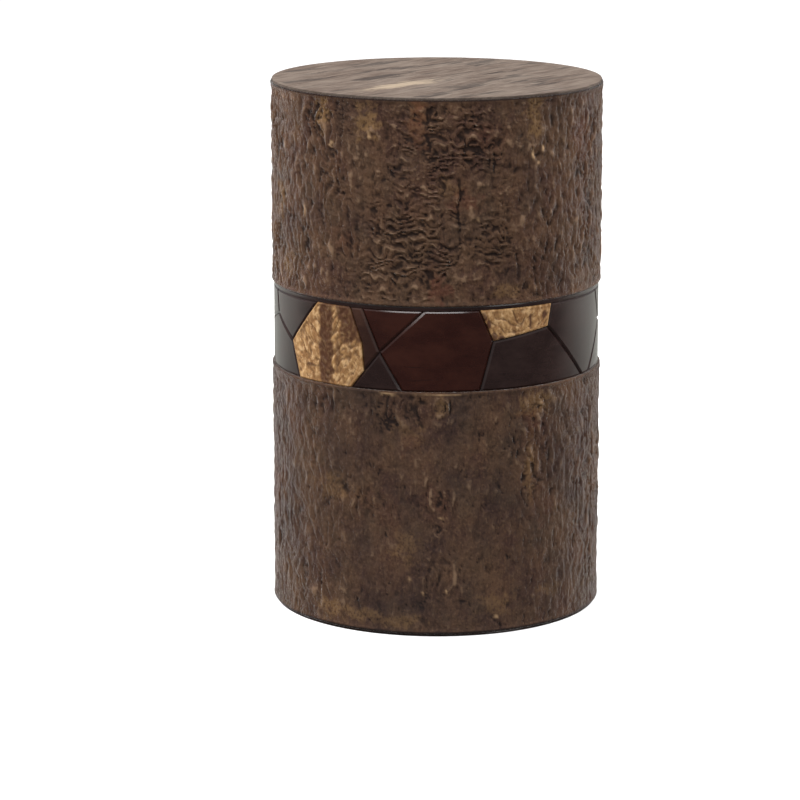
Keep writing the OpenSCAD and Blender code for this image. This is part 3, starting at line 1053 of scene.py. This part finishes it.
def dress_hidden_nodes(material):
    """The cores, the boards and the lining between the tubes keep their CAD shape and get their wood."""
    for node in HIDDEN_NODES:
        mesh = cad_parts[node].data
        mesh.materials.clear()
        mesh.materials.append(material)


# ---- the caddy ----


def build():
    make_effects()
    bark = rough_bark()
    veneer_wood = veneer()
    burgundy = polished_bark("polished_burgundy", tint(42, 17, 13), tint(55, 26, 19))
    umber = polished_bark("polished_umber", tint(36, 23, 22), tint(49, 34, 32))
    russet = polished_bark("polished_russet", tint(48, 29, 24), tint(70, 46, 37))
    neck = polished_bark("neck_bark", tint(74, 35, 25), tint(92, 46, 32), gloss=0.5, marks=0.8)
    inside = (tint(104, 56, 39), tint(124, 70, 48))
    lining = polished_bark("lining_bark", *inside, gloss=0.4, marks=0.8)
    lining_flat = polished_bark("lining_bark_flat", *inside, gloss=0.4, marks=0.8, flat=True)
    cover = (tint(62, 28, 20), tint(80, 38, 27))
    cover_flat = polished_bark("cover_bark_flat", *cover, gloss=0.5, marks=0.8, flat=True)
    # The base's bark is near black so that its edge shows as the dark line under the caddy: partly its own
    # dark colour, partly painted shade.
    base_flat = polished_bark("base_bark_flat", tint(30, 19, 16), tint(44, 29, 24), gloss=0.3, flat=True)
    gold = golden_bark()

    bark_coat("lid_coat", "lid", "lid_bark", LID_BARK, bark)
    bark_coat("body_coat", "caddy", "body_bark", BODY_BARK, bark)
    lid_top(scraped_bark())

    for node in sorted(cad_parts):
        if node in GOLD_TILES:
            golden_tile(node, gold, *GOLD_TILES[node])
        elif node == "tile_front_sliver":
            polished_tile(node, russet)
        elif node.startswith("tile_"):
            polished_tile(node, burgundy if node in BURGUNDY_TILES else umber)

    bark_disc("base_bark", "caddy", base_flat, ease=0.25 * MM)
    bark_ring("body_rim_bark", "caddy", umber, ease=0.15 * MM)
    bark_disc("floor_bark", "caddy", lining_flat)
    bark_ring("inner_tube_bark", "caddy", neck)
    bark_ring("inner_tube_lining", "caddy", lining)
    bark_ring("neck_rim_bark", "caddy", neck, ease=0.15 * MM)

    tenon = tube_size("inner_lid_top_bark")[0]
    bark_disc("inner_lid_top_bark", "inner_lid", cover_flat, hole=tenon)
    bark_disc("inner_lid_under_bark", "inner_lid", lining_flat)
    bark_ring("inner_lid_edge_bark", "inner_lid", neck, ease=0.15 * MM)
    bark_ring("inner_lid_plug_bark", "inner_lid", lining, ease=0.15 * MM)
    bark_disc("inner_lid_flange", "inner_lid", veneer_wood, hole=tenon)
    inner_lid_knob(knob_wood())

    bark_ring("lid_rim_bark", "lid", umber, ease=0.12 * MM)
    bark_ring("lid_lining", "lid", lining)
    bark_disc("lid_ceiling_bark", "lid", lining_flat)
    dress_hidden_nodes(veneer_wood)


aim_camera()
light_the_set()
lay_floor()
build()
